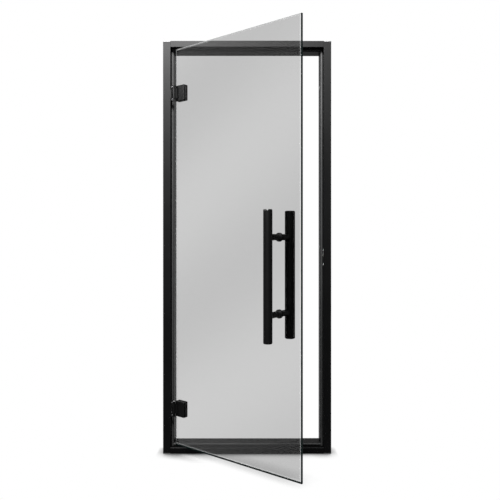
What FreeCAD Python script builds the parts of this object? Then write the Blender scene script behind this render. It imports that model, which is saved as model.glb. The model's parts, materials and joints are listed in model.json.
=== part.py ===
import FreeCAD, Part
import math
import os

# A sauna door: one clear glass leaf on two clamp hinges in a black aluminium frame, with a bar handle
# on each side of the glass. Millimetres, Z up, X to the right, Y away from the side the door opens to.
# The origin is the middle of the threshold's underside. The leaf is stored part open.

Vector = FreeCAD.Vector

# Frame profiles
frame_width = 770.0
frame_height = 1890.0
jamb_face = 34.0
head_face = 28.0
threshold_face = 27.0
rebate_depth = 28.0
stop_depth = 62.0
stop_height = 13.0
profile_wall = 2.0
profile_edge_bevel = 0.8
seal_groove_width = 4.0
seal_groove_depth = 4.0
seal_groove_wall = 1.5

# Caps in the ends of the jambs
end_cap_thickness = 3.0
end_cap_leg = 12.0
end_cap_clearance = 0.3

# Seals on the stops
seal_width = 9.0
seal_height = 2.0
seal_clearance = 0.2

# Holes for the wall screws, low, middle and high on each jamb
low_fixing_height = 200.0
high_fixing_drop = 200.0
fixing_hole_diameter = 8.0
screw_cap_diameter = 18.0
screw_cap_proud = 0.5
screw_cap_clearance = 0.1

# Glass leaf
glass_thickness = 8.0
glass_setback = 12.0
hinge_side_gap = 8.0
latch_side_gap = 7.0
top_gap = 8.0
bottom_gap = 10.0
glass_arris = 0.7
glass_hole_diameter = 12.0
rest_opening = 38.0

# Hinges
pin_inset = 17.0
pin_forward = 8.0
pin_diameter = 8.0
pin_clearance = 0.08
pin_seat_clearance = 0.02
barrel_diameter = 14.0
knuckle_height = 45.0
lug_height = 12.0
knuckle_gap = 0.5
knuckle_arm_width = 10.0
bracket_thickness = 3.0
bracket_edge_margin = 1.0
lug_root = 8.0
upper_hinge_drop = 242.0
lower_hinge_height = 208.0
clamp_width = 53.0
clamp_height = 70.0
clamp_thickness = 9.0
clamp_corner_bevel = 2.0
clamp_edge_bevel = 1.2
outer_clamp_start = 18.0
inner_clamp_clearance = 5.0
pad_thickness = 1.0
pad_window_margin = 2.0
clamp_bolt_diameter = 8.0
clamp_bolt_spacing = 40.0
clamp_bolt_inset = 36.0
clamp_bolt_head_diameter = 14.0
clamp_bolt_head_height = 4.5
clamp_bolt_clearance = 0.1
clamp_bolt_socket = 5.0
clamp_bolt_socket_depth = 2.5

# Handle
handle_height = 837.0
handle_edge_distance = 108.0
handle_length = 520.0
post_spacing = 305.0
bar_offset = 78.0
outer_bar_diameter = 36.0
inner_bar_diameter = 42.0
outer_bar_wall = 2.0
inner_bar_end_bevel = 3.0
end_plug_thickness = 4.0
end_plug_taper = 1.5
post_diameter = 25.0
post_seat_clearance = 0.1
post_flange_diameter = 36.0
post_flange_length = 10.0
washer_diameter = 24.0
washer_thickness = 1.0
stud_diameter = 10.0
stud_clearance = 0.1

# Roller catch on the latch jamb
catch_height = 898.0
catch_plate_height = 78.0
catch_plate_width = 16.0
catch_plate_thickness = 1.0
catch_plate_corner_bevel = 2.5
catch_roller_diameter = 10.0
catch_roller_length = 16.0
catch_roller_above_middle = 14.0
catch_roller_proud = 2.0
catch_clearance = 0.5
catch_housing_wall = 1.5
catch_hole_clearance = 0.2

# Places worked out from the sizes above
frame_depth = rebate_depth + stop_depth
front_y = -frame_depth / 2
stop_y = front_y + rebate_depth
back_y = frame_depth / 2
rebate_x = frame_width / 2 - jamb_face
stop_x = rebate_x - stop_height
head_underside = frame_height - head_face
glass_left = -rebate_x + hinge_side_gap
glass_right = rebate_x - latch_side_gap
glass_bottom = threshold_face + bottom_gap
glass_top = head_underside - top_gap
glass_front = front_y + glass_setback
glass_back = glass_front + glass_thickness
glass_middle = (glass_front + glass_back) / 2
pin_x = -rebate_x + pin_inset
pin_y = front_y - pin_forward
handle_x = glass_right - handle_edge_distance
post_heights = (handle_height - post_spacing / 2, handle_height + post_spacing / 2)
hinge_heights = (lower_hinge_height, frame_height - upper_hinge_drop)
clamp_bolt_x = glass_left + clamp_bolt_inset


def moved(shape, x, y, z):
    copy = shape.copy()
    copy.translate(Vector(x, y, z))
    return copy


def turned(shape, axis, angle, centre=Vector(0, 0, 0)):
    copy = shape.copy()
    copy.rotate(centre, axis, angle)
    return copy


def mirrored(shape):
    """The same shape on the other side of the doorway."""
    return shape.mirror(Vector(0, 0, 0), Vector(1, 0, 0))


def opened(shape):
    """A leaf piece, drawn with the door closed, swung out to the stored opening."""
    return turned(shape, Vector(0, 0, 1), -rest_opening, Vector(pin_x, pin_y, 0))


def box(x_range, y_range, z_range):
    size = [high - low for low, high in (x_range, y_range, z_range)]
    return Part.makeBox(*size, Vector(x_range[0], y_range[0], z_range[0]))


def cylinder(diameter, length, start, direction):
    return Part.makeCylinder(diameter / 2, length, start, direction)


def flat_face(corners):
    """A flat face in the XY plane from (x, y, bevel) corners, each cut off at that distance."""
    edges = []
    first_start = None
    previous_end = None
    count = len(corners)
    for i in range(count):
        here = Vector(corners[i][0], corners[i][1], 0)
        before = Vector(corners[i - 1][0], corners[i - 1][1], 0)
        after = Vector(corners[(i + 1) % count][0], corners[(i + 1) % count][1], 0)
        bevel = corners[i][2]
        start = here + (before - here).normalize() * bevel
        end = here + (after - here).normalize() * bevel
        if i == 0:
            first_start = start
        else:
            edges.append(Part.makeLine(previous_end, start))
        if bevel > 0:
            edges.append(Part.makeLine(start, end))
        previous_end = end
    edges.append(Part.makeLine(previous_end, first_start))
    return Part.Face(Part.Wire(edges))


def bevelled_plate(width, height, thickness, corner_bevel):
    """A plate that stands in the XZ plane, centred on the Z axis, from y = 0 to y = thickness."""
    half_width = width / 2
    half_height = height / 2
    corners = [
        (-half_width, -half_height, corner_bevel),
        (half_width, -half_height, corner_bevel),
        (half_width, half_height, corner_bevel),
        (-half_width, half_height, corner_bevel),
    ]
    plate = flat_face(corners).extrude(Vector(0, 0, thickness))
    return moved(turned(plate, Vector(1, 0, 0), 90), 0, thickness, 0)


def edges_at(shape, axis, value):
    """The edges of a shape that lie wholly in one plane across an axis, given as x, y or z."""
    return [
        edge for edge in shape.Edges
        if all(abs(getattr(vertex.Point, axis) - value) < 1e-6 for vertex in edge.Vertexes)
        and abs(getattr(edge.CenterOfMass, axis) - value) < 1e-6
    ]


def profile_outline(face_width):
    """The rebated outline that jambs, head and threshold share: x from the wall side to the doorway,
    y from the front to the back."""
    bevel = profile_edge_bevel
    return flat_face([
        (0, 0, bevel),
        (face_width, 0, bevel),
        (face_width, rebate_depth, 0),
        (face_width + stop_height, rebate_depth, bevel),
        (face_width + stop_height, frame_depth, bevel),
        (0, frame_depth, bevel),
    ])


def chamber_rectangles(face_width):
    """The front and the back chamber of the hollow profile, as x and y ranges."""
    front = ((profile_wall, face_width - profile_wall), (profile_wall, rebate_depth))
    back = (
        (profile_wall, face_width + stop_height - profile_wall),
        (rebate_depth + profile_wall, frame_depth - profile_wall),
    )
    return front, back


def rectangle(x_range, y_range):
    return flat_face([
        (x_range[0], y_range[0], 0),
        (x_range[1], y_range[0], 0),
        (x_range[1], y_range[1], 0),
        (x_range[0], y_range[1], 0),
    ])


def extruded_profile(face_width, length):
    """A hollow rebated aluminium profile along Z, with a groove for the seal in the stop's face."""
    groove_middle = face_width + stop_height / 2
    groove_x = (groove_middle - seal_groove_width / 2, groove_middle + seal_groove_width / 2)
    boss_x = (groove_x[0] - seal_groove_wall, groove_x[1] + seal_groove_wall)
    groove_bottom = rebate_depth + seal_groove_depth
    section = profile_outline(face_width)
    groove_boss = rectangle(boss_x, (rebate_depth, groove_bottom + seal_groove_wall))
    for x_range, y_range in chamber_rectangles(face_width):
        section = section.cut(rectangle(x_range, y_range).cut(groove_boss))
    section = section.cut(rectangle(groove_x, (rebate_depth, groove_bottom)))
    return section.extrude(Vector(0, 0, length)).Solids[0]


def fixing_heights():
    return [low_fixing_height, frame_height / 2, frame_height - high_fixing_drop]


def fixing_y():
    return (stop_y + back_y) / 2


def jamb():
    """The hinge side jamb, full height between its end caps. Each wall screw has a hole in the outer
    wall and a wider one in the doorway side, through which it is driven."""
    length = frame_height - 2 * end_cap_thickness
    solid = moved(extruded_profile(jamb_face, length), -frame_width / 2, front_y, end_cap_thickness)
    across = Vector(1, 0, 0)
    access_diameter = screw_cap_diameter + 2 * screw_cap_clearance
    for height in fixing_heights():
        outer = Vector(-frame_width / 2, fixing_y(), height)
        inner = Vector(-stop_x - profile_wall, fixing_y(), height)
        solid = solid.cut(cylinder(fixing_hole_diameter, profile_wall, outer, across))
        solid = solid.cut(cylinder(access_diameter, profile_wall, inner, across))
    return solid


def catch_place():
    """The middle of the catch plate on the latch jamb's rebate wall."""
    return Vector(rebate_x, glass_middle, catch_height)


def catch_window():
    """Width and height of the opening that the roller looks out of."""
    return catch_roller_diameter + 2 * catch_clearance, catch_roller_length


def catch_roller_axis():
    """The middle of the roller, sunk in the rebate wall so far that it stands proud as it should."""
    inward = catch_roller_diameter / 2 - catch_roller_proud
    return catch_place() + Vector(inward, 0, catch_roller_above_middle)


def catch_box(margin, depth):
    """The catch's window grown by a margin all round and run back into the jamb."""
    width, height = catch_window()
    axis = catch_roller_axis()
    half_width = width / 2 + margin
    half_height = height / 2 + margin
    return box(
        (rebate_x, rebate_x + depth),
        (axis.y - half_width, axis.y + half_width),
        (axis.z - half_height, axis.z + half_height),
    )


def latch_jamb():
    """The other jamb, with an opening in its rebate wall for the catch's housing."""
    return mirrored(jamb()).cut(catch_box(catch_housing_wall + catch_hole_clearance, profile_wall))


def jamb_stop_spaces():
    """The two spaces that the jambs' stops fill, where head and threshold are notched."""
    z_range = (0, frame_height)
    left = box((-rebate_x, -stop_x), (stop_y, back_y), z_range)
    right = box((stop_x, rebate_x), (stop_y, back_y), z_range)
    return left.fuse(right)


def head_rail():
    length = 2 * rebate_x
    rail = turned(extruded_profile(head_face, length), Vector(0, 1, 0), 90)
    return moved(rail, -rebate_x, front_y, frame_height).cut(jamb_stop_spaces())


def threshold():
    length = 2 * rebate_x
    rail = turned(extruded_profile(threshold_face, length), Vector(0, 1, 0), -90)
    return moved(rail, rebate_x, front_y, 0).cut(jamb_stop_spaces())


def end_cap():
    """The cap in the foot of the hinge side jamb: a plate with a leg in each chamber."""
    cap = profile_outline(jamb_face).extrude(Vector(0, 0, end_cap_thickness))
    seal_space = seal_groove_depth + seal_groove_wall + end_cap_clearance
    front, back = chamber_rectangles(jamb_face)
    leg_places = [front, (back[0], (back[1][0] + seal_space, back[1][1]))]
    for x_range, y_range in leg_places:
        leg = box(
            (x_range[0] + end_cap_clearance, x_range[1] - end_cap_clearance),
            (y_range[0] + end_cap_clearance, y_range[1] - end_cap_clearance),
            (end_cap_thickness, end_cap_thickness + end_cap_leg),
        )
        cap = cap.fuse(leg)
    return moved(cap.removeSplitter(), -frame_width / 2, front_y, 0)


def jamb_end_caps():
    foot = end_cap()
    top = foot.mirror(Vector(0, 0, frame_height / 2), Vector(0, 0, 1))
    return Part.makeCompound([foot, top])


def screw_caps():
    """Press-in covers for the wall screws, in the doorway side of the hinge side jamb."""
    caps = []
    for height in fixing_heights():
        seat = Vector(-stop_x - profile_wall, fixing_y(), height)
        thickness = profile_wall + screw_cap_proud
        caps.append(cylinder(screw_cap_diameter, thickness, seat, Vector(1, 0, 0)))
    return Part.makeCompound(caps)


def seal(face_width, foot_length, lip_length):
    """A seal along Z for one profile: a foot in the groove and a rounded lip, each with its length."""
    middle = face_width + stop_height / 2
    half_foot = seal_groove_width / 2 - seal_clearance
    half_lip = seal_width / 2
    foot = rectangle(
        (middle - half_foot, middle + half_foot),
        (rebate_depth, rebate_depth + seal_groove_depth - seal_clearance),
    )
    left = Vector(middle - half_lip, rebate_depth, 0)
    top = Vector(middle, rebate_depth - seal_height, 0)
    right = Vector(middle + half_lip, rebate_depth, 0)
    lip = Part.Face(Part.Wire([Part.Arc(left, top, right).toShape(), Part.makeLine(right, left)]))
    foot_solid = moved(foot.extrude(Vector(0, 0, foot_length)), 0, 0, -foot_length / 2)
    lip_solid = moved(lip.extrude(Vector(0, 0, lip_length)), 0, 0, -lip_length / 2)
    return foot_solid.fuse(lip_solid)


def side_seal():
    height = head_underside - threshold_face
    middle = (head_underside + threshold_face) / 2
    return moved(seal(jamb_face, height, height), -frame_width / 2, front_y, middle)


def cross_seal(face_width):
    """A seal between the two side seals, still along Z."""
    lip_end = stop_x + (stop_height - seal_width) / 2
    return seal(face_width, 2 * stop_x, 2 * (lip_end - seal_clearance))


def head_seal():
    return moved(turned(cross_seal(head_face), Vector(0, 1, 0), 90), 0, front_y, frame_height)


def threshold_seal():
    return moved(turned(cross_seal(threshold_face), Vector(0, 1, 0), -90), 0, front_y, 0)


def catch_plate():
    """A plate on the rebate wall, with the housing behind it that holds the roller."""
    place = catch_place()
    thickness = catch_plate_thickness
    plate = bevelled_plate(catch_plate_width, catch_plate_height, thickness, catch_plate_corner_bevel)
    plate = turned(plate, Vector(0, 0, 1), -90)
    plate = moved(plate, place.x - thickness, place.y, place.z)
    inner_depth = catch_roller_axis().x - rebate_x + catch_roller_diameter / 2 + catch_clearance
    housing = catch_box(catch_housing_wall, inner_depth + catch_housing_wall)
    space = catch_box(0, inner_depth)
    mouth = moved(space, -thickness, 0, 0)
    return plate.fuse(housing).cut(space).cut(mouth).removeSplitter()


def catch_roller():
    """An upright roller, its ends borne by the housing's floor and ceiling."""
    up = Vector(0, 0, 1)
    foot = catch_roller_axis() - up * (catch_roller_length / 2)
    return cylinder(catch_roller_diameter, catch_roller_length, foot, up)


def lug_outline():
    """A lug seen from above: a root on the bracket plate and an arm out to the hinge pin."""
    plate_x = -rebate_x + bracket_thickness
    radius = barrel_diameter / 2
    arm = flat_face([
        (-rebate_x, front_y - bracket_thickness, 0),
        (pin_x, pin_y - radius, 0),
        (pin_x, pin_y + radius, 0),
        (plate_x, front_y + bracket_thickness, 0),
        (plate_x, front_y + lug_root, 0),
        (-rebate_x, front_y + lug_root, 0),
    ])
    return arm


def hinge_brackets():
    """The fixed halves of the hinges: a plate on the rebate wall with two lugs that hold the pin."""
    half_knuckle = knuckle_height / 2 + knuckle_gap
    total = 2 * (half_knuckle + lug_height)
    plate = box(
        (-rebate_x, -rebate_x + bracket_thickness),
        (front_y + bracket_edge_margin, stop_y - seal_height - bracket_edge_margin),
        (-total / 2, total / 2),
    )
    bracket = plate
    for bottom in (-total / 2, half_knuckle):
        lug = moved(lug_outline().extrude(Vector(0, 0, lug_height)), 0, 0, bottom)
        ring = cylinder(barrel_diameter, lug_height, Vector(pin_x, pin_y, bottom), Vector(0, 0, 1))
        bracket = bracket.fuse(lug).fuse(ring)
    bore = pin_diameter + 2 * pin_seat_clearance
    bracket = bracket.cut(cylinder(bore, total, Vector(pin_x, pin_y, -total / 2), Vector(0, 0, 1)))
    return at_both_hinges(bracket.removeSplitter())


def hinge_pins():
    total = knuckle_height + 2 * (knuckle_gap + lug_height)
    start = Vector(pin_x, pin_y, -total / 2)
    return at_both_hinges(cylinder(pin_diameter, total, start, Vector(0, 0, 1)))


def clamp_bolt_heights():
    return (-clamp_bolt_spacing / 2, clamp_bolt_spacing / 2)


def outer_clamps():
    """The leaf's outer clamp plates with the knuckles that turn on the pins."""
    start_x = -rebate_x + outer_clamp_start
    front = glass_front - pad_thickness - clamp_thickness
    plate = bevelled_plate(clamp_width, clamp_height, clamp_thickness, clamp_corner_bevel)
    plate = moved(plate, start_x + clamp_width / 2, front, 0)
    plate = plate.makeChamfer(clamp_edge_bevel, edges_at(plate, "y", front))
    half = knuckle_height / 2
    up = Vector(0, 0, 1)
    radius = barrel_diameter / 2
    arm = flat_face([
        (pin_x, pin_y - radius, 0),
        (start_x + knuckle_arm_width, front, 0),
        (start_x + knuckle_arm_width, front + clamp_thickness / 2, 0),
        (start_x, front + clamp_thickness / 2, 0),
        (pin_x, pin_y, 0),
    ])
    arm = moved(arm.extrude(Vector(0, 0, knuckle_height)), 0, 0, -half)
    barrel = cylinder(barrel_diameter, knuckle_height, Vector(pin_x, pin_y, -half), up)
    clamp = plate.fuse(arm).fuse(barrel)
    bore = pin_diameter + 2 * pin_clearance
    clamp = clamp.cut(cylinder(bore, knuckle_height, Vector(pin_x, pin_y, -half), up))
    return at_both_hinges(clamp.removeSplitter())


def inner_clamp_range():
    """Where the inner clamp plate runs along the leaf, clear of the jamb's stop."""
    start = -stop_x + inner_clamp_clearance
    end = -rebate_x + outer_clamp_start + clamp_width
    return start, end


def at_both_hinges(shape):
    """A piece drawn about the middle of a hinge, set at the upper and the lower one."""
    return Part.makeCompound([moved(shape, 0, 0, height) for height in hinge_heights])


def inner_clamps():
    """The clamp plates on the room side of the glass, drilled for the bolts."""
    start, end = inner_clamp_range()
    seat = glass_back + pad_thickness
    back = seat + clamp_thickness
    plate = bevelled_plate(end - start, clamp_height, clamp_thickness, clamp_corner_bevel)
    plate = moved(plate, (start + end) / 2, seat, 0)
    plate = plate.makeChamfer(clamp_edge_bevel, edges_at(plate, "y", back))
    diameter = clamp_bolt_diameter + 2 * clamp_bolt_clearance
    for z in clamp_bolt_heights():
        place = Vector(clamp_bolt_x, seat, z)
        plate = plate.cut(cylinder(diameter, clamp_thickness, place, Vector(0, 1, 0)))
    return at_both_hinges(plate)


def clamp_pad(x_range, y_start):
    """A soft pad between a clamp plate and the glass, with a window round both bolts."""
    y_range = (y_start, y_start + pad_thickness)
    half_height = clamp_height / 2
    half_width = clamp_bolt_diameter / 2 + pad_window_margin
    half_length = half_width + clamp_bolt_spacing / 2
    x_window = (clamp_bolt_x - half_width, clamp_bolt_x + half_width)
    pad = box(x_range, y_range, (-half_height, half_height))
    return pad.cut(box(x_window, y_range, (-half_length, half_length)))


def hinge_pads():
    outer_start = -rebate_x + outer_clamp_start
    outer_range = (outer_start, outer_start + clamp_width)
    outer = clamp_pad(outer_range, glass_front - pad_thickness)
    inner = clamp_pad(inner_clamp_range(), glass_back)
    return at_both_hinges(Part.makeCompound([outer, inner]))


def hexagon(across_flats):
    radius = across_flats / math.sqrt(3)
    corners = []
    for k in range(6):
        angle = math.radians(60 * k)
        corners.append((radius * math.cos(angle), radius * math.sin(angle), 0))
    return flat_face(corners)


def hinge_bolts():
    """Bolts that draw the inner clamp plates to the outer ones, two to a hinge. Drawn about the origin,
    a bolt's head rests on the clamp at y = 0 and has a hexagonal socket in its top."""
    seat_y = glass_back + pad_thickness + clamp_thickness
    end_y = glass_front - pad_thickness
    inward = Vector(0, 1, 0)
    socket = hexagon(clamp_bolt_socket).extrude(Vector(0, 0, clamp_bolt_socket_depth))
    socket = moved(turned(socket, Vector(1, 0, 0), 90), 0, clamp_bolt_head_height, 0)
    shank = cylinder(clamp_bolt_diameter, seat_y - end_y, Vector(0, end_y - seat_y, 0), inward)
    head = cylinder(clamp_bolt_head_diameter, clamp_bolt_head_height, Vector(0, 0, 0), inward)
    bolt = shank.fuse(head).cut(socket).removeSplitter()
    pair = [moved(bolt, clamp_bolt_x, seat_y, z) for z in clamp_bolt_heights()]
    return at_both_hinges(Part.makeCompound(pair))


def glass_leaf():
    """The toughened glass pane, with eased edges and holes for the hinges and the handle."""
    pane = box((glass_left, glass_right), (glass_front, glass_back), (glass_bottom, glass_top))
    face_edges = edges_at(pane, "y", glass_front) + edges_at(pane, "y", glass_back)
    pane = pane.makeChamfer(glass_arris, face_edges)
    places = [(handle_x, post_height) for post_height in post_heights]
    for hinge_height in hinge_heights:
        places += [(clamp_bolt_x, hinge_height + z) for z in clamp_bolt_heights()]
    for x, z in places:
        start = Vector(x, glass_front, z)
        pane = pane.cut(cylinder(glass_hole_diameter, glass_thickness, start, Vector(0, 1, 0)))
    return pane


def bar_y(side):
    """The middle of a handle bar: side -1 is outside the room, 1 is inside."""
    return glass_middle + side * bar_offset


def outer_handle_bar():
    """A steel tube, closed by a plug at each end."""
    length = handle_length - 2 * end_plug_thickness
    start = Vector(handle_x, bar_y(-1), handle_height - length / 2)
    up = Vector(0, 0, 1)
    tube = cylinder(outer_bar_diameter, length, start, up)
    return tube.cut(cylinder(outer_bar_diameter - 2 * outer_bar_wall, length, start, up))


def outer_handle_end_plugs():
    """Plugs that close the tube and taper a little to their ends."""
    radius = outer_bar_diameter / 2
    place = Vector(handle_x, bar_y(-1), handle_height + handle_length / 2 - end_plug_thickness)
    top = Part.makeCone(radius, radius - end_plug_taper, end_plug_thickness, place, Vector(0, 0, 1))
    foot = top.mirror(Vector(0, 0, handle_height), Vector(0, 0, 1))
    return Part.makeCompound([top, foot])


def inner_handle_bar():
    """A thicker solid bar of stained wood, which stays cool to the touch."""
    bottom_z = handle_height - handle_length / 2
    start = Vector(handle_x, bar_y(1), bottom_z)
    bar = cylinder(inner_bar_diameter, handle_length, start, Vector(0, 0, 1))
    ends = edges_at(bar, "z", bottom_z) + edges_at(bar, "z", bottom_z + handle_length)
    return bar.makeChamfer(inner_bar_end_bevel, ends)


def post_foot(side):
    """Where a post starts: the face of the washer on that side of the glass."""
    return glass_middle + side * (glass_thickness / 2 + washer_thickness)


def handle_posts(side, bar_diameter):
    """Round posts from the glass to a bar, each with a flared foot and a saddle round the bar."""
    across = Vector(0, side, 0)
    up = Vector(0, 0, 1)
    flange_radii = (post_flange_diameter / 2, post_diameter / 2)
    length = abs(bar_y(side) - post_foot(side))
    saddle_diameter = bar_diameter + 2 * post_seat_clearance
    posts = []
    for z in post_heights:
        foot = Vector(handle_x, post_foot(side), z)
        flange = Part.makeCone(*flange_radii, post_flange_length, foot, across)
        saddle_start = Vector(handle_x, bar_y(side), z - post_diameter)
        saddle = cylinder(saddle_diameter, 2 * post_diameter, saddle_start, up)
        post = flange.fuse(cylinder(post_diameter, length, foot, across)).cut(saddle)
        posts.append(post.removeSplitter())
    return Part.makeCompound(posts)


def handle_washers():
    """Soft washers between the posts' feet and the glass."""
    washers = []
    bore = stud_diameter + 2 * stud_clearance
    for z in post_heights:
        for side, face_y in ((-1, glass_front), (1, glass_back)):
            place = Vector(handle_x, face_y, z)
            across = Vector(0, side, 0)
            washer = cylinder(washer_diameter, washer_thickness, place, across)
            washers.append(washer.cut(cylinder(bore, washer_thickness, place, across)))
    return Part.makeCompound(washers)


def handle_studs():
    """Studs through the glass, from the outer post's foot to the inner one's."""
    length = post_foot(1) - post_foot(-1)
    studs = []
    for z in post_heights:
        start = Vector(handle_x, post_foot(-1), z)
        studs.append(cylinder(stud_diameter, length, start, Vector(0, 1, 0)))
    return Part.makeCompound(studs)


def frame_pieces():
    return {
        "hinge_jamb": jamb(),
        "latch_jamb": latch_jamb(),
        "head_rail": head_rail(),
        "threshold": threshold(),
        "hinge_jamb_end_caps": jamb_end_caps(),
        "latch_jamb_end_caps": mirrored(jamb_end_caps()),
        "hinge_jamb_screw_caps": screw_caps(),
        "latch_jamb_screw_caps": mirrored(screw_caps()),
        "hinge_side_seal": side_seal(),
        "latch_side_seal": mirrored(side_seal()),
        "head_seal": head_seal(),
        "threshold_seal": threshold_seal(),
        "catch_plate": catch_plate(),
        "catch_roller": catch_roller(),
        "hinge_brackets": hinge_brackets(),
        "hinge_pins": hinge_pins(),
    }


def leaf_pieces():
    """The pieces that swing, drawn with the door closed."""
    return {
        "glass_leaf": glass_leaf(),
        "hinge_outer_clamps": outer_clamps(),
        "hinge_inner_clamps": inner_clamps(),
        "hinge_pads": hinge_pads(),
        "hinge_bolts": hinge_bolts(),
        "outer_handle_bar": outer_handle_bar(),
        "outer_handle_end_plugs": outer_handle_end_plugs(),
        "inner_handle_bar": inner_handle_bar(),
        "outer_handle_posts": handle_posts(-1, outer_bar_diameter),
        "inner_handle_posts": handle_posts(1, inner_bar_diameter),
        "handle_washers": handle_washers(),
        "handle_studs": handle_studs(),
    }


def main():
    os.makedirs("parts", exist_ok=True)
    pieces = frame_pieces()
    for name, shape in leaf_pieces().items():
        pieces[name] = opened(shape)
    for name, shape in pieces.items():
        shape.exportStep(os.path.join("parts", name + ".step"))


main()
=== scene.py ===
import json
import math
import bpy
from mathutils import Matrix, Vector


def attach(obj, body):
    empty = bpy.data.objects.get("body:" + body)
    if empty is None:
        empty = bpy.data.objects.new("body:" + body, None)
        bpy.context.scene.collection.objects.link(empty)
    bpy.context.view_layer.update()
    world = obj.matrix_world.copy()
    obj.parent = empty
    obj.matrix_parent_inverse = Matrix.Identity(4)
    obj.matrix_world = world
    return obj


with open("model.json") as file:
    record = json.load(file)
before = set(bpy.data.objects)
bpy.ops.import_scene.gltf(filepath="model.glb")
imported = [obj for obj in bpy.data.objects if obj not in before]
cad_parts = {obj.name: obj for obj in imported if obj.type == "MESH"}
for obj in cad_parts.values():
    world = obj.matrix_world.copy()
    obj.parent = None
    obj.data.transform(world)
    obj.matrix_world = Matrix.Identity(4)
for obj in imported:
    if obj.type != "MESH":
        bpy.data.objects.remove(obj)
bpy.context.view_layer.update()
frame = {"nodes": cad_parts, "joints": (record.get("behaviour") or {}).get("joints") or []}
nodes = frame["nodes"]

# The leaf as it is stored, part open: its hinge axis, and the directions along it and through it
joint = frame["joints"][0]
PIN = Vector((joint["pos_m"][0], joint["pos_m"][1], 0.0))
OPENING = math.radians(38.0)
LEAF_ALONG = Vector((math.cos(OPENING), -math.sin(OPENING), 0.0))
LEAF_THROUGH = Vector((math.sin(OPENING), math.cos(OPENING), 0.0))

# World directions
TO_RIGHT = Vector((1.0, 0.0, 0.0))
TO_BACK = Vector((0.0, 1.0, 0.0))
UP = Vector((0.0, 0.0, 1.0))

# Outline of the frame's foot on the floor, in metres
FRAME_FRONT = -0.045
FRAME_SIDE = 0.385

# Small screws: where they are, in metres with the door closed
HINGE_HEIGHTS = (0.208, 1.648)
BRACKET_FACE_X = -0.348
BRACKET_SCREW_Y = -0.031
BRACKET_SCREW_SPREAD = 0.022
LUG_FACE_X = -0.3425
LUG_FACE_Y = -0.054
LUG_FACING = Vector((-0.577, -0.817, 0.0))
LUG_MIDDLE = 0.029
CATCH_FACE_X = 0.35
CATCH_Y = -0.029
CATCH_HEIGHT = 0.898
CATCH_SCREW_SPREAD = 0.032
HANDLE_X = 0.236
POST_HEIGHTS = (0.6845, 0.9895)
POST_RADIUS = 0.0125
POST_SCREW_OUT = 0.045
GLASS_MIDDLE_Y = -0.029

# Small screws: radius and height of each kind of head
BRACKET_SCREW_HEAD = (0.0042, 0.0012)
LOCK_SCREW_HEAD = (0.0026, 0.0008)
CATCH_SCREW_HEAD = (0.0038, 0.001)
POST_SCREW_HEAD = (0.0028, 0.0006)

# Shape of every screw head, as shares of its radius and height
SCREW_SIDES = 24
SCREW_DOME = ((1.0, 0.0), (1.0, 0.45), (0.86, 0.8), (0.6, 1.0))
SOCKET_REACH = 0.42
SOCKET_HEIGHTS = (1.0, 0.25)

# Camera, found from the frame's and the leaf's corners in the photograph
CAMERA_PLACE = (0.0131, -2.6207, 0.9782)
CAMERA_LENS = 40.51
CAMERA_SENSOR = 36.0
CAMERA_SHIFT_UP = -0.02

# Stage
WORLD_LIGHTING = 0.7
FLOOR_HALF = 30.0
SHADE_DARKEST = 0.05
SHADE_SAMPLES = 16

# Shade round the frame's foot: how far it reaches, how far its view leans back, and where it stops
CONTACT_REACH = 0.09
CONTACT_LEAN = 0.6
CONTACT_FULL = 0.3
CONTACT_CLEAR = 0.85
CONTACT_BESIDE = 0.03
CONTACT_AHEAD_FROM = 0.07
CONTACT_AHEAD_TO = 0.11

# Shade behind the leaf's foot: its view leans to the front, and it stops at the frame
LEAF_SHADE_REACH = 0.22
LEAF_SHADE_LEAN = -3.0
LEAF_SHADE_FULL = 0.45
LEAF_SHADE_CLEAR = 0.87
LEAF_SHADE_STOP = 0.02

# Grey tint of the glass, with faint diagonal lighter and darker bands of painted reflection in it, whose
# spacing and place are in metres
GLASS_TINT_DARK_PAINTED_BAND = (0.52, 0.52, 0.52)
GLASS_TINT_LIGHT_PAINTED_BAND = (0.59, 0.59, 0.59)
GLASS_PAINTED_BAND_ACROSS = (-0.77, 0.0, 1.0)
GLASS_PAINTED_BAND_SPACING = 0.957
GLASS_PAINTED_BAND_PLACE = 1.352
GLASS_REFLECTION = (0.35, 0.35, 0.35, 1.0)
GLASS_SHADOW = (0.78, 0.79, 0.79, 1.0)

# The edges of the glass: a painted highlight, a pale line just inside them, and the dark green of the edges
# themselves, which is also painted onto the face near the foot and the latch side as a painted reflection
# of the end faces
GLASS_PAINTED_HIGHLIGHT_WIDTH = 0.0045
GLASS_PAINTED_HIGHLIGHT_SOFT = 0.001
GLASS_PAINTED_HIGHLIGHT_CLEAR = (0.8, 0.8, 0.8)
GLASS_PAINTED_HIGHLIGHT_SHARE = 0.14
GLASS_PAINTED_HIGHLIGHT_PALE = (0.85, 0.86, 0.86, 1.0)
GLASS_GREEN = (0.001, 0.006, 0.0055, 1.0)
GLASS_ARRIS = 0.0008
# Widths of dark green painted on the face at the foot and the latch side: a painted reflection of the end
# faces seen through the glass
GLASS_FOOT_PAINTED_REFLECTION = 0.006
GLASS_LATCH_PAINTED_REFLECTION = 0.004
GLASS_DARK_SOFT = 0.0004

# Pairs of colours that each finish drifts between
FINE_BLACK = ((0.0008, 0.0008, 0.0009), (0.0016, 0.0016, 0.0018))
HINGE_BLACK = ((0.0012, 0.0012, 0.0013), (0.0024, 0.0024, 0.0026))
CAP_BLACK = ((0.012, 0.012, 0.012), (0.02, 0.02, 0.02))
RUBBER_BLACK = ((0.006, 0.006, 0.006), (0.01, 0.01, 0.01))
NYLON_GREY = ((0.55, 0.55, 0.53), (0.62, 0.62, 0.6))
BRIGHT_STEEL = ((0.42, 0.42, 0.43), (0.6, 0.6, 0.61))
DULL_STEEL = ((0.03, 0.03, 0.031), (0.05, 0.05, 0.052))
WOOD_BLACK = ((0.002, 0.002, 0.002), (0.0055, 0.0052, 0.005))

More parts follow.
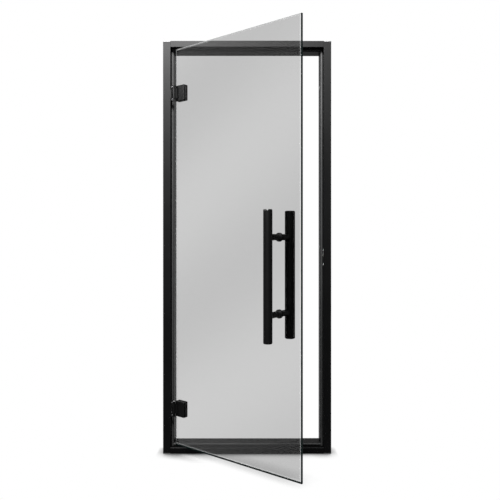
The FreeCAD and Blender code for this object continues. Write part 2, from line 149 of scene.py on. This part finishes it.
# How much a pattern is squeezed along each axis
EVENLY = (1.0, 1.0, 1.0)
GRAIN_UP_THE_BAR = (90.0, 90.0, 3.0)
SCRATCH_SQUEEZE = 30.0


def links_of(material):
    tree = material.node_tree
    return tree.nodes, tree.links, tree.nodes["Principled BSDF"]


def new_material(name):
    material = bpy.data.materials.new(name)
    material.use_nodes = True
    return material


def object_coordinates(tree_nodes, tree_links, scale):
    """Coordinates fixed to the piece, in metres, multiplied by a scale for each axis."""
    source = tree_nodes.new("ShaderNodeTexCoord")
    mapping = tree_nodes.new("ShaderNodeMapping")
    mapping.inputs["Scale"].default_value = scale
    tree_links.new(source.outputs["Object"], mapping.inputs["Vector"])
    return mapping.outputs["Vector"]


def noise(tree_nodes, tree_links, vector, scale, detail, roughness=0.5):
    texture = tree_nodes.new("ShaderNodeTexNoise")
    texture.inputs["Scale"].default_value = scale
    texture.inputs["Detail"].default_value = detail
    texture.inputs["Roughness"].default_value = roughness
    tree_links.new(vector, texture.inputs["Vector"])
    return texture.outputs["Fac"]


def ranged(tree_nodes, tree_links, value, from_low, from_high, to_low, to_high):
    node = tree_nodes.new("ShaderNodeMapRange")
    node.inputs["From Min"].default_value = from_low
    node.inputs["From Max"].default_value = from_high
    node.inputs["To Min"].default_value = to_low
    node.inputs["To Max"].default_value = to_high
    tree_links.new(value, node.inputs["Value"])
    return node.outputs["Result"]


def spread(tree_nodes, tree_links, value, low, high):
    """Stretches the middle of a noise to run from low to high."""
    return ranged(tree_nodes, tree_links, value, 0.3, 0.7, low, high)


def calculated(tree_nodes, tree_links, operation, *values):
    """The result of a sum on values that are sockets or plain numbers."""
    node = tree_nodes.new("ShaderNodeMath")
    node.operation = operation
    for socket, value in zip(node.inputs, values):
        if isinstance(value, float):
            socket.default_value = value
        else:
            tree_links.new(value, socket)
    return node.outputs["Value"]


def distance_along(tree_nodes, tree_links, vector, direction):
    node = tree_nodes.new("ShaderNodeVectorMath")
    node.operation = "DOT_PRODUCT"
    node.inputs[1].default_value = direction
    tree_links.new(vector, node.inputs[0])
    return node.outputs["Value"]


def two_colours(tree_nodes, tree_links, value, first, second):
    """Runs from the first colour to the second over the middle of a noise."""
    ramp = tree_nodes.new("ShaderNodeValToRGB")
    ramp.color_ramp.elements[0].position = 0.3
    ramp.color_ramp.elements[0].color = (*first, 1.0)
    ramp.color_ramp.elements[1].position = 0.7
    ramp.color_ramp.elements[1].color = (*second, 1.0)
    tree_links.new(value, ramp.inputs["Fac"])
    return ramp.outputs["Color"]


def bump(tree_nodes, tree_links, height, strength, distance):
    node = tree_nodes.new("ShaderNodeBump")
    node.inputs["Strength"].default_value = strength
    node.inputs["Distance"].default_value = distance
    tree_links.new(height, node.inputs["Height"])
    return node.outputs["Normal"]


def mixed_colours(tree_nodes, tree_links, value, first, second):
    node = tree_nodes.new("ShaderNodeMix")
    node.data_type = "RGBA"
    tree_links.new(value, node.inputs["Factor"])
    for socket, colour in ((node.inputs["A"], first), (node.inputs["B"], second)):
        if isinstance(colour, tuple):
            socket.default_value = (*colour, 1.0)
        else:
            tree_links.new(colour, socket)
    return node.outputs["Result"]


def mixed_shaders(tree_nodes, tree_links, value, first, second):
    node = tree_nodes.new("ShaderNodeMixShader")
    tree_links.new(value, node.inputs["Fac"])
    tree_links.new(first, node.inputs[1])
    tree_links.new(second, node.inputs[2])
    return node.outputs["Shader"]


def coated(name, colours, roughness, specular, grain, depth):
    """A coat on metal or moulded plastic: fine grain in the surface, faint clouds in colour and gloss."""
    material = new_material(name)
    tree_nodes, tree_links, shader = links_of(material)
    vector = object_coordinates(tree_nodes, tree_links, EVENLY)
    clouds = noise(tree_nodes, tree_links, vector, scale=9.0, detail=3.0)
    fine = noise(tree_nodes, tree_links, vector, scale=grain, detail=2.0)
    colour = two_colours(tree_nodes, tree_links, clouds, *colours)
    rough = spread(tree_nodes, tree_links, clouds, *roughness)
    normal = bump(tree_nodes, tree_links, fine, strength=0.35, distance=depth)
    tree_links.new(colour, shader.inputs["Base Color"])
    tree_links.new(rough, shader.inputs["Roughness"])
    tree_links.new(normal, shader.inputs["Normal"])
    shader.inputs["Specular IOR Level"].default_value = specular
    return material


def brushed_steel(name, across, colours, roughness):
    """Ground steel with its fine scratches across one axis."""
    material = new_material(name)
    tree_nodes, tree_links, shader = links_of(material)
    scale = list(EVENLY)
    scale[across] = SCRATCH_SQUEEZE
    vector = object_coordinates(tree_nodes, tree_links, scale)
    scratches = noise(tree_nodes, tree_links, vector, scale=60.0, detail=4.0)
    colour = two_colours(tree_nodes, tree_links, scratches, *colours)
    rough = spread(tree_nodes, tree_links, scratches, *roughness)
    normal = bump(tree_nodes, tree_links, scratches, strength=0.2, distance=0.0001)
    tree_links.new(colour, shader.inputs["Base Color"])
    tree_links.new(rough, shader.inputs["Roughness"])
    tree_links.new(normal, shader.inputs["Normal"])
    shader.inputs["Metallic"].default_value = 1.0
    return material


def stained_wood(name, colours, roughness, specular):
    """Stained wood with its grain up the bar."""
    material = new_material(name)
    tree_nodes, tree_links, shader = links_of(material)
    vector = object_coordinates(tree_nodes, tree_links, GRAIN_UP_THE_BAR)
    grain = noise(tree_nodes, tree_links, vector, scale=1.0, detail=6.0, roughness=0.65)
    pores = noise(tree_nodes, tree_links, vector, scale=5.0, detail=3.0, roughness=0.6)
    colour = two_colours(tree_nodes, tree_links, grain, *colours)
    rough = spread(tree_nodes, tree_links, pores, *roughness)
    normal = bump(tree_nodes, tree_links, pores, strength=0.3, distance=0.0002)
    tree_links.new(colour, shader.inputs["Base Color"])
    tree_links.new(rough, shader.inputs["Roughness"])
    tree_links.new(normal, shader.inputs["Normal"])
    shader.inputs["Specular IOR Level"].default_value = specular
    return material


def painted_reflection_bands(tree_nodes, tree_links, vector):
    """Runs softly from 0 in the dark bands of painted reflection to 1 in the light ones."""
    across = distance_along(tree_nodes, tree_links, vector, GLASS_PAINTED_BAND_ACROSS)
    from_light = calculated(tree_nodes, tree_links, "SUBTRACT", across, GLASS_PAINTED_BAND_PLACE)
    angle = calculated(tree_nodes, tree_links, "MULTIPLY", from_light, 2 * math.pi / GLASS_PAINTED_BAND_SPACING)
    wave = calculated(tree_nodes, tree_links, "COSINE", angle)
    return calculated(tree_nodes, tree_links, "MULTIPLY_ADD", wave, 0.5, 0.5)


def inside_dark_edges(tree_nodes, tree_links, vector):
    """How far a point on the leaf lies inside the dark of its side edges and foot, painted across the face
    at the foot and the latch side as a painted reflection of the end faces, and inside all its edges.
    """
    points = [vertex.co for vertex in nodes["glass_leaf"].data.vertices]
    across = [point.dot(LEAF_ALONG) for point in points]
    heights = [point.z for point in points]
    along = distance_along(tree_nodes, tree_links, vector, LEAF_ALONG)
    height = distance_along(tree_nodes, tree_links, vector, UP)
    sides_and_foot = [
        (along, min(across) + GLASS_ARRIS),
        (max(across) - GLASS_LATCH_PAINTED_REFLECTION, along),
        (height, min(heights) + GLASS_FOOT_PAINTED_REFLECTION),
    ]
    below_top = 1.0
    for larger, smaller in sides_and_foot:
        inside = calculated(tree_nodes, tree_links, "SUBTRACT", larger, smaller)
        below_top = calculated(tree_nodes, tree_links, "MINIMUM", below_top, inside)
    from_top = calculated(tree_nodes, tree_links, "SUBTRACT", max(heights) - GLASS_ARRIS, height)
    return below_top, calculated(tree_nodes, tree_links, "MINIMUM", below_top, from_top)


# The edges' own dark green, also used as a painted reflection of the end faces near the foot and the latch
# side
def dark_edge_shader(tree_nodes):
    edge = tree_nodes.new("ShaderNodeBsdfPrincipled")
    edge.inputs["Base Color"].default_value = GLASS_GREEN
    edge.inputs["Roughness"].default_value = 0.4
    edge.inputs["Specular IOR Level"].default_value = 0.02
    return edge.outputs["BSDF"]


def plain_shader(tree_nodes, kind, colour):
    node = tree_nodes.new(kind)
    node.inputs["Color"].default_value = colour
    return node.outputs["BSDF"]


def grey_glass(name):
    """Lightly grey toughened glass with ground edges, with bands of painted reflection, a painted highlight
    line just inside its edges, and a painted reflection of its end faces near the foot and the latch side.
    Light that casts shadows passes through it.
    """
    material = new_material(name)
    tree_nodes, tree_links, shader = links_of(material)
    vector = object_coordinates(tree_nodes, tree_links, EVENLY)
    inside_sides, inside_all = inside_dark_edges(tree_nodes, tree_links, vector)
    # Dark green: the left arris itself, and a painted reflection of the end faces near the foot and the
    # latch side
    dark = ranged(tree_nodes, tree_links, inside_sides, 0.0, GLASS_DARK_SOFT, 1.0, 0.0)
    # Painted highlight: a pale line just inside the edges, with a clearer tint along the sides and a pale
    # diffuse share on all edges
    fading = (GLASS_PAINTED_HIGHLIGHT_WIDTH, GLASS_PAINTED_HIGHLIGHT_WIDTH + GLASS_PAINTED_HIGHLIGHT_SOFT, 1.0, 0.0)
    side_painted_highlight = ranged(tree_nodes, tree_links, inside_sides, *fading)
    whole_painted_highlight = ranged(tree_nodes, tree_links, inside_all, *fading)

    # Painted reflection: the glass's tint runs between darker and lighter diagonal bands
    bands = painted_reflection_bands(tree_nodes, tree_links, vector)
    tint = mixed_colours(tree_nodes, tree_links, bands, GLASS_TINT_DARK_PAINTED_BAND, GLASS_TINT_LIGHT_PAINTED_BAND)
    tint = mixed_colours(tree_nodes, tree_links, side_painted_highlight, tint, GLASS_PAINTED_HIGHLIGHT_CLEAR)
    tree_links.new(tint, shader.inputs["Base Color"])
    shader.inputs["Roughness"].default_value = 0.0
    shader.inputs["IOR"].default_value = 1.5
    shader.inputs["Transmission Weight"].default_value = 1.0
    shader.inputs["Specular Tint"].default_value = GLASS_REFLECTION

    # Pale diffuse part of the painted highlight line
    pale = plain_shader(tree_nodes, "ShaderNodeBsdfDiffuse", GLASS_PAINTED_HIGHLIGHT_PALE)
    painted_highlight_part = calculated(tree_nodes, tree_links, "MULTIPLY", whole_painted_highlight, GLASS_PAINTED_HIGHLIGHT_SHARE)
    surface = mixed_shaders(tree_nodes, tree_links, painted_highlight_part, shader.outputs["BSDF"], pale)
    surface = mixed_shaders(tree_nodes, tree_links, dark, surface, dark_edge_shader(tree_nodes))

    open_to_light = plain_shader(tree_nodes, "ShaderNodeBsdfTransparent", GLASS_SHADOW)
    is_shadow = tree_nodes.new("ShaderNodeLightPath").outputs["Is Shadow Ray"]
    surface = mixed_shaders(tree_nodes, tree_links, is_shadow, surface, open_to_light)
    tree_links.new(surface, tree_nodes["Material Output"].inputs["Surface"])
    return material


frame_coat = coated(
    "frame_coat", FINE_BLACK, roughness=(0.44, 0.47), specular=0.022, grain=900.0, depth=0.0001)
hinge_coat = coated(
    "hinge_coat", HINGE_BLACK, roughness=(0.36, 0.44), specular=0.03, grain=1200.0, depth=0.0001)
bar_coat = coated(
    "bar_coat", FINE_BLACK, roughness=(0.38, 0.42), specular=0.035, grain=1200.0, depth=0.0001)
cap_plastic = coated(
    "cap_plastic", CAP_BLACK, roughness=(0.5, 0.62), specular=0.3, grain=1500.0, depth=0.0002)
seal_rubber = coated(
    "seal_rubber", RUBBER_BLACK, roughness=(0.65, 0.8), specular=0.1, grain=700.0, depth=0.0001)
nylon = coated(
    "nylon", NYLON_GREY, roughness=(0.3, 0.4), specular=0.5, grain=400.0, depth=0.00005)
pin_steel = brushed_steel("pin_steel", 2, BRIGHT_STEEL, roughness=(0.22, 0.38))
screw_steel = brushed_steel("screw_steel", 0, BRIGHT_STEEL, roughness=(0.3, 0.45))
dull_steel = brushed_steel("dull_steel", 0, DULL_STEEL, roughness=(0.45, 0.6))
bar_wood = stained_wood("bar_wood", WOOD_BLACK, roughness=(0.36, 0.46), specular=0.02)
glass = grey_glass("glass")

finish_of = {
    "hinge_jamb": frame_coat,
    "latch_jamb": frame_coat,
    "head_rail": frame_coat,
    "threshold": frame_coat,
    "hinge_jamb_end_caps": cap_plastic,
    "latch_jamb_end_caps": cap_plastic,
    "hinge_jamb_screw_caps": cap_plastic,
    "latch_jamb_screw_caps": cap_plastic,
    "hinge_side_seal": seal_rubber,
    "latch_side_seal": seal_rubber,
    "head_seal": seal_rubber,
    "threshold_seal": seal_rubber,
    "catch_plate": hinge_coat,
    "catch_roller": nylon,
    "hinge_brackets": hinge_coat,
    "hinge_pins": pin_steel,
    "glass_leaf": glass,
    "hinge_outer_clamps": hinge_coat,
    "hinge_inner_clamps": hinge_coat,
    "hinge_pads": seal_rubber,
    "hinge_bolts": screw_steel,
    "outer_handle_bar": bar_coat,
    "outer_handle_end_plugs": bar_coat,
    "inner_handle_bar": bar_wood,
    "outer_handle_posts": bar_coat,
    "inner_handle_posts": bar_coat,
    "handle_washers": seal_rubber,
    "handle_studs": pin_steel,
}
for name, material in finish_of.items():
    node = nodes[name]
    node.data.materials.clear()
    node.data.materials.append(material)


def on_leaf(x, y, z):
    """A place on the leaf as it is stored, from its place with the door closed."""
    place = PIN + LEAF_ALONG * (x - PIN.x) + LEAF_THROUGH * (y - PIN.y)
    return Vector((place.x, place.y, z))


def hexagon_reach(angle):
    """How far out a hexagon's side lies at an angle, where the circle inside it has radius 1."""
    half_side = math.pi / 6
    from_side_middle = (angle + half_side) % (2 * half_side) - half_side
    return 1.0 / math.cos(from_side_middle)


def screw_head_points(place, facing, radius, height):
    """The points of one head, ring by ring, from its foot to the floor of its hexagonal socket."""
    turn = facing.to_track_quat("Z", "Y")
    rings = [(across * radius, up * height, False) for across, up in SCREW_DOME]
    rings += [(SOCKET_REACH * radius, up * height, True) for up in SOCKET_HEIGHTS]
    points = []
    for ring_radius, ring_height, is_socket in rings:
        for k in range(SCREW_SIDES):
            angle = 2 * math.pi * k / SCREW_SIDES
            reach = ring_radius * hexagon_reach(angle) if is_socket else ring_radius
            local = Vector((reach * math.cos(angle), reach * math.sin(angle), ring_height))
            points.append(place + turn @ local)
    return points


def screw_head_faces(start):
    """The faces of one head whose points begin at start: its bands, then its socket floor and its foot."""
    bands = len(SCREW_DOME) + len(SOCKET_HEIGHTS) - 1
    faces = []
    for band in range(bands):
        low = start + band * SCREW_SIDES
        high = low + SCREW_SIDES
        for k in range(SCREW_SIDES):
            after = (k + 1) % SCREW_SIDES
            faces.append((low + k, low + after, high + after, high + k))
    faces.append([start + bands * SCREW_SIDES + k for k in range(SCREW_SIDES)])
    faces.append([start + k for k in reversed(range(SCREW_SIDES))])
    return faces


def screw_heads(name, places, head, material):
    """One piece of low domed screw heads. Each place is a point and the way the head faces there."""
    radius, height = head
    points = []
    faces = []
    for place, facing in places:
        faces += screw_head_faces(len(points))
        points += screw_head_points(place, facing, radius, height)
    mesh = bpy.data.meshes.new(name)
    mesh.from_pydata(points, [], faces)
    mesh.materials.append(material)
    piece = bpy.data.objects.new(name, mesh)
    bpy.context.scene.collection.objects.link(piece)
    return piece


def hinge_bracket_screws():
    """Two screws hold each bracket to the jamb."""
    places = []
    for height in HINGE_HEIGHTS:
        for side in (-1, 1):
            place = Vector((BRACKET_FACE_X, BRACKET_SCREW_Y, height + side * BRACKET_SCREW_SPREAD))
            places.append((place, TO_RIGHT))
    piece = screw_heads("hinge_bracket_screws", places, BRACKET_SCREW_HEAD, dull_steel)
    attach(piece, "frame")


def hinge_lock_screws():
    """A small screw in each lug locks the pin."""
    places = []
    for height in HINGE_HEIGHTS:
        for side in (-1, 1):
            places.append((Vector((LUG_FACE_X, LUG_FACE_Y, height + side * LUG_MIDDLE)), LUG_FACING))
    piece = screw_heads("hinge_pin_lock_screws", places, LOCK_SCREW_HEAD, dull_steel)
    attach(piece, "frame")


def catch_screws():
    """Two screws hold the catch plate to the jamb."""
    places = []
    for side in (-1, 1):
        place = Vector((CATCH_FACE_X, CATCH_Y, CATCH_HEIGHT + side * CATCH_SCREW_SPREAD))
        places.append((place, -TO_RIGHT))
    piece = screw_heads("catch_plate_screws", places, CATCH_SCREW_HEAD, screw_steel)
    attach(piece, "frame")


def post_screws():
    """A small screw under each post locks it to its bar."""
    places = []
    for height in POST_HEIGHTS:
        for side in (-1, 1):
            y = GLASS_MIDDLE_Y + side * POST_SCREW_OUT
            places.append((on_leaf(HANDLE_X, y, height - POST_RADIUS), -UP))
    piece = screw_heads("handle_post_screws", places, POST_SCREW_HEAD, dull_steel)
    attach(piece, "leaf")


hinge_bracket_screws()
hinge_lock_screws()
catch_screws()
post_screws()


def seen_directly(tree_nodes, tree_links):
    """1 on rays from the camera, from a glossy surface or through glass, and 0 on the rest."""
    path = tree_nodes.new("ShaderNodeLightPath").outputs
    seen = calculated(tree_nodes, tree_links, "MAXIMUM", path["Is Camera Ray"], path["Is Glossy Ray"])
    return calculated(tree_nodes, tree_links, "MAXIMUM", seen, path["Is Transmission Ray"])


def floor_shade(tree_nodes, tree_links, reach, lean, full, clear):
    """Falls from 1 to SHADE_DARKEST as what stands within reach leaves less of the view open, from clear
    down to full. The view leans back for a positive lean and to the front for a negative one."""
    facing = tree_nodes.new("ShaderNodeCombineXYZ")
    length = math.hypot(lean, 1.0)
    facing.inputs["Y"].default_value = lean / length
    facing.inputs["Z"].default_value = 1.0 / length
    around = tree_nodes.new("ShaderNodeAmbientOcclusion")
    around.inputs["Distance"].default_value = reach
    around.samples = SHADE_SAMPLES
    tree_links.new(facing.outputs["Vector"], around.inputs["Normal"])
    return ranged(tree_nodes, tree_links, around.outputs["AO"], full, clear, SHADE_DARKEST, 1.0)


def frame_shade(tree_nodes, tree_links, across, depth):
    """The frame's own shade, close round its foot."""
    shade = floor_shade(
        tree_nodes, tree_links, CONTACT_REACH, CONTACT_LEAN, CONTACT_FULL, CONTACT_CLEAR)
    from_middle = calculated(tree_nodes, tree_links, "ABSOLUTE", across)
    beside = ranged(tree_nodes, tree_links, from_middle, FRAME_SIDE, FRAME_SIDE + CONTACT_BESIDE, 0.0, 1.0)
    shade = calculated(tree_nodes, tree_links, "MAXIMUM", shade, beside)
    furthest = FRAME_FRONT - CONTACT_AHEAD_TO
    ahead = ranged(tree_nodes, tree_links, depth, furthest, FRAME_FRONT - CONTACT_AHEAD_FROM, 1.0, 0.0)
    return calculated(tree_nodes, tree_links, "MAXIMUM", shade, ahead)


def leaf_shade(tree_nodes, tree_links, depth):
    """The leaf's shade on the floor behind it, only in front of the frame, where the leaf swings."""
    shade = floor_shade(
        tree_nodes, tree_links, LEAF_SHADE_REACH, LEAF_SHADE_LEAN, LEAF_SHADE_FULL, LEAF_SHADE_CLEAR)
    at_frame = ranged(tree_nodes, tree_links, depth, FRAME_FRONT - LEAF_SHADE_STOP, FRAME_FRONT, 0.0, 1.0)
    return calculated(tree_nodes, tree_links, "MAXIMUM", shade, at_frame)


def floor_material():
    """A plain pale floor that shows white, with the object's soft shade where it stands."""
    material = new_material("floor_white")
    tree_nodes, tree_links, shader = links_of(material)
    shader.inputs["Base Color"].default_value = (0.8, 0.8, 0.8, 1.0)
    shader.inputs["Roughness"].default_value = 1.0
    shader.inputs["Specular IOR Level"].default_value = 0.0
    place = object_coordinates(tree_nodes, tree_links, EVENLY)
    across = distance_along(tree_nodes, tree_links, place, TO_RIGHT)
    depth = distance_along(tree_nodes, tree_links, place, TO_BACK)
    round_frame = frame_shade(tree_nodes, tree_links, across, depth)
    behind_leaf = leaf_shade(tree_nodes, tree_links, depth)
    shade = calculated(tree_nodes, tree_links, "MULTIPLY", round_frame, behind_leaf)
    white = tree_nodes.new("ShaderNodeEmission")
    tree_links.new(shade, white.inputs["Strength"])
    seen = seen_directly(tree_nodes, tree_links)
    surface = mixed_shaders(tree_nodes, tree_links, seen, shader.outputs["BSDF"], white.outputs["Emission"])
    tree_links.new(surface, tree_nodes["Material Output"].inputs["Surface"])
    return material


def make_floor():
    half = FLOOR_HALF
    mesh = bpy.data.meshes.new("floor")
    corners = [(-half, -half, 0.0), (half, -half, 0.0), (half, half, 0.0), (-half, half, 0.0)]
    mesh.from_pydata(corners, [], [(0, 1, 2, 3)])
    floor = bpy.data.objects.new("floor", mesh)
    bpy.context.scene.collection.objects.link(floor)
    mesh.materials.append(floor_material())


def make_world():
    """A white world that is seen at full strength and lights the object a little less."""
    world = bpy.data.worlds.new("studio")
    world.use_nodes = True
    bpy.context.scene.world = world
    tree_nodes = world.node_tree.nodes
    tree_links = world.node_tree.links
    background = tree_nodes["Background"]
    background.inputs["Color"].default_value = (1.0, 1.0, 1.0, 1.0)
    seen = seen_directly(tree_nodes, tree_links)
    strength = ranged(tree_nodes, tree_links, seen, 0.0, 1.0, WORLD_LIGHTING, 1.0)
    tree_links.new(strength, background.inputs["Strength"])


def area_light(name, place, target, size, energy):
    data = bpy.data.lights.new(name, "AREA")
    data.shape = "SQUARE"
    data.size = size
    data.energy = energy
    light = bpy.data.objects.new(name, data)
    light.location = place
    light.rotation_mode = "QUATERNION"
    light.rotation_quaternion = (Vector(target) - Vector(place)).to_track_quat("-Z", "Y")
    bpy.context.scene.collection.objects.link(light)
    return light


def lit_pieces_without(name, piece):
    """A collection that keeps a light from falling on one piece."""
    collection = bpy.data.collections.new(name)
    collection.objects.link(piece)
    collection.collection_objects[0].light_linking.link_state = "EXCLUDE"
    return collection


def highlights_only(light, receivers):
    """Leaves a light only its highlights, on the pieces that its receivers allow."""
    light.visible_diffuse = False
    light.light_linking.receiver_collection = receivers


def make_lights():
    area_light("key", place=(-1.3, -2.6, 3.3), target=(0.0, 0.0, 1.2), size=1.6, energy=60.0)
    sheen = area_light("sheen", place=(-0.6, -2.3, 3.7), target=(0.0, 0.0, 1.7), size=1.0, energy=3900.0)
    side_sheen = area_light(
        "side_sheen", place=(-2.75, -0.45, 3.6), target=(-0.2, -0.2, 1.6), size=0.7, energy=650.0)
    all_but_glass = lit_pieces_without("sheen_passes_over", nodes["glass_leaf"])
    highlights_only(sheen, all_but_glass)
    highlights_only(side_sheen, all_but_glass)


def make_camera():
    data = bpy.data.cameras.new("camera")
    data.lens = CAMERA_LENS
    data.sensor_width = CAMERA_SENSOR
    data.shift_y = CAMERA_SHIFT_UP
    camera = bpy.data.objects.new("camera", data)
    camera.location = CAMERA_PLACE
    camera.rotation_euler = (math.radians(90.0), 0.0, 0.0)
    bpy.context.scene.collection.objects.link(camera)
    bpy.context.scene.camera = camera


make_floor()
make_world()
make_lights()
make_camera()
bpy.context.scene.view_settings.view_transform = "Standard"
